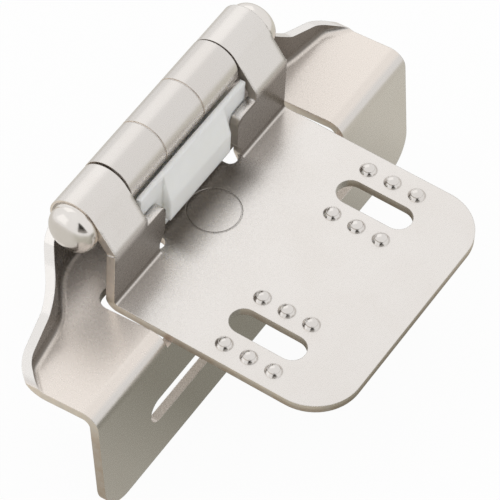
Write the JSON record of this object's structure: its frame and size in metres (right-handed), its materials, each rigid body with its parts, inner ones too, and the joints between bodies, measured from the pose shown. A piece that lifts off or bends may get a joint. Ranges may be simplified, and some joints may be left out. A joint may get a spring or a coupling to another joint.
{
  "type": "spring loaded door hinge",
  "caption": "Self-closing cabinet hinge: a bent frame leaf and a slotted door leaf on one pin, with a sprung nylon cam housing that pulls the door shut.",
  "frame": {"origin": "midway between the two flange screw slots, on the flange face that meets the wood", "axes": "+X from the cabinet frame towards the door plate's free edge, +Y along the hinge pin, +Z out of the cabinet"},
  "size_m": [0.0416, 0.07, 0.0352],
  "materials": {
    "satin_nickel": "satin nickel plate on stamped steel",
    "bright_nickel": "polished nickel plate",
    "nylon": "moulded off-white nylon",
    "spring_steel": "drawn wire"
  },
  "bodies": {
    "frame": {"frame_leaf": "satin_nickel"},
    "door": {"door_leaf": "satin_nickel", "hinge_pin": "bright_nickel", "spring_housing": "nylon", "follower_spring_left": "spring_steel", "follower_spring_right": "spring_steel"},
    "follower": {"cam_follower": "nylon"}
  },
  "joints": [
    {"name": "door_swing", "type": "hinge", "parent": "frame", "child": "door", "pos_m": [-0.01213, 0, 0.02341], "axis": [0, -1, 0], "range_deg": [0, 183], "stiffness_Nm_per_rad": 0.02, "springref_deg": -57.3},
    {"name": "follower_lift", "type": "slide", "parent": "door", "child": "follower", "axis": [-0.0919, 0, -0.9958], "range_m": [0, 0.00037], "deforming": ["follower_spring_left", "follower_spring_right"]}
  ],
  "couplings": [
    {"joint": "follower_lift", "follows": "door_swing", "m_per_rad": 0.0001146}
  ]
}
